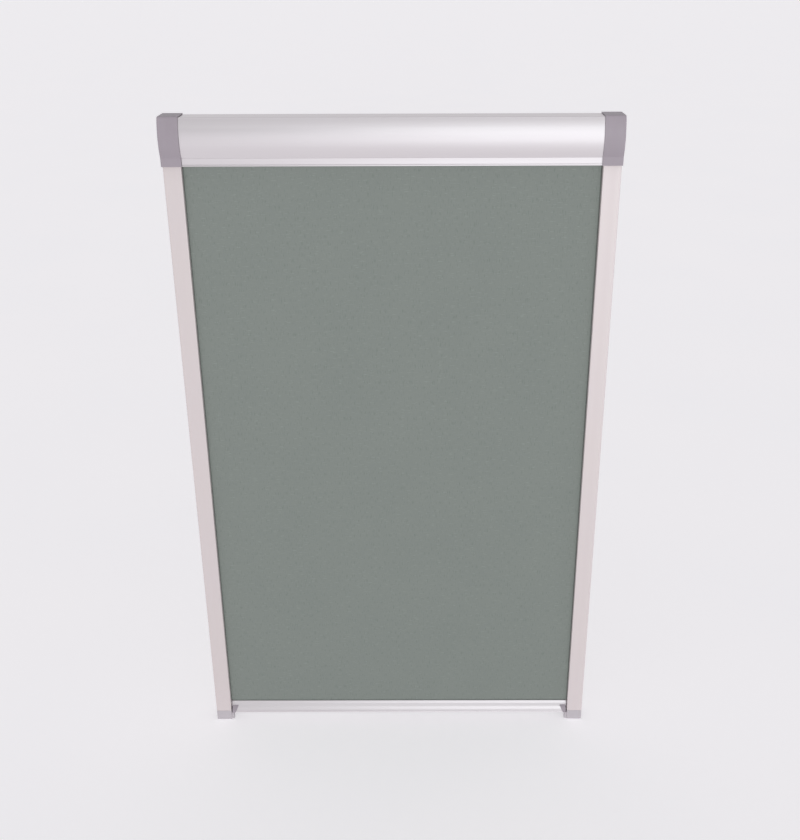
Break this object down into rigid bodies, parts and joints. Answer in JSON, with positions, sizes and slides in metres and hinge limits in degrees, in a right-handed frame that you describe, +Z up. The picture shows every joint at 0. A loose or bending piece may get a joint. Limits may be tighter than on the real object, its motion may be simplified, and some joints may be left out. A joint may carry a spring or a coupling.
{
  "type": "skylight window blind",
  "caption": "Blackout roller blind for a pitched-roof window: a cassette with a spring roller, cloth that runs in side channels, and a pull bar that slides up and down.",
  "frame": {"origin": "on the cassette's flat back face, half way along the blind's width and 30 mm above the cassette's lower edge", "axes": "+X to the right as seen from the room, +Y out of the cassette's back towards the window, +Z up the slope of the blind"},
  "size_m": [0.615, 0.041, 0.99],
  "materials": {
    "satin_aluminium": "satin silver anodised extrusion",
    "grey_cap_plastic": "fine matte grey moulding",
    "grey_foot_plastic": "fine matte light grey moulding",
    "natural_acetal": "natural white",
    "zinc_plated_steel": "bright zinc plating",
    "spring_steel": "drawn wire, oiled",
    "mill_aluminium": "mill finish",
    "grey_pile": "short dense pile",
    "dark_felt": "pressed felt",
    "blackout_cloth": "coated grey-green polyester"
  },
  "bodies": {
    "frame": {"cassette_housing": "satin_aluminium", "cassette_fascia": "satin_aluminium", "fascia_pile": "grey_pile", "guide_felt": "dark_felt", "end_plate_left": "zinc_plated_steel", "end_plate_right": "zinc_plated_steel", "end_plate_screw_top_left": "zinc_plated_steel", "end_plate_screw_bottom_left": "zinc_plated_steel", "end_plate_screw_front_left": "zinc_plated_steel", "end_plate_screw_top_right": "zinc_plated_steel", "end_plate_screw_bottom_right": "zinc_plated_steel", "end_plate_screw_front_right": "zinc_plated_steel", "end_cap_left": "grey_cap_plastic", "end_cap_right": "grey_cap_plastic", "end_cap_screw_upper_left": "zinc_plated_steel", "end_cap_screw_lower_left": "zinc_plated_steel", "end_cap_screw_upper_right": "zinc_plated_steel", "end_cap_screw_lower_right": "zinc_plated_steel", "spring_spindle": "zinc_plated_steel", "spindle_circlip": "spring_steel", "spindle_collar": "natural_acetal", "torsion_spring": "spring_steel", "idler_bush": "natural_acetal", "channel_left": "satin_aluminium", "channel_right": "satin_aluminium", "channel_pile_rear_left": "grey_pile", "channel_pile_front_left": "grey_pile", "channel_pile_rear_right": "grey_pile", "channel_pile_front_right": "grey_pile", "channel_foot_left": "grey_foot_plastic", "channel_foot_right": "grey_foot_plastic", "foot_screw_rear_left": "zinc_plated_steel", "foot_screw_front_left": "zinc_plated_steel", "foot_screw_rear_right": "zinc_plated_steel", "foot_screw_front_right": "zinc_plated_steel", "fabric_panel": "blackout_cloth"},
    "roller": {"roller_tube": "mill_aluminium", "fabric_roll": "blackout_cloth", "roller_spline": "natural_acetal", "drive_plug": "natural_acetal", "spindle_bearing": "natural_acetal", "idler_plug": "natural_acetal", "idler_pin": "zinc_plated_steel"},
    "bar": {"bar_profile": "satin_aluminium", "hem_rod": "natural_acetal", "bar_slider_left": "grey_cap_plastic", "bar_slider_right": "grey_cap_plastic", "friction_pad_left": "dark_felt", "friction_pad_right": "dark_felt", "slider_screw_left": "zinc_plated_steel", "slider_screw_right": "zinc_plated_steel", "bar_cap_left": "grey_cap_plastic", "bar_cap_right": "grey_cap_plastic", "bar_bottom_seal": "grey_pile"}
  },
  "joints": [
    {"name": "bar_slide", "type": "slide", "parent": "frame", "child": "bar", "axis": [0, 0, 1], "range_m": [0, 0.878], "deforming": ["fabric_panel"]},
    {"name": "roller_spin", "type": "hinge", "parent": "frame", "child": "roller", "pos_m": [0, -0.0225, 0], "axis": [1, 0, 0], "range_deg": [0, 3850]}
  ],
  "couplings": [
    {"joint": "roller_spin", "follows": "bar_slide", "rad_per_m": 75.5}
  ]
}
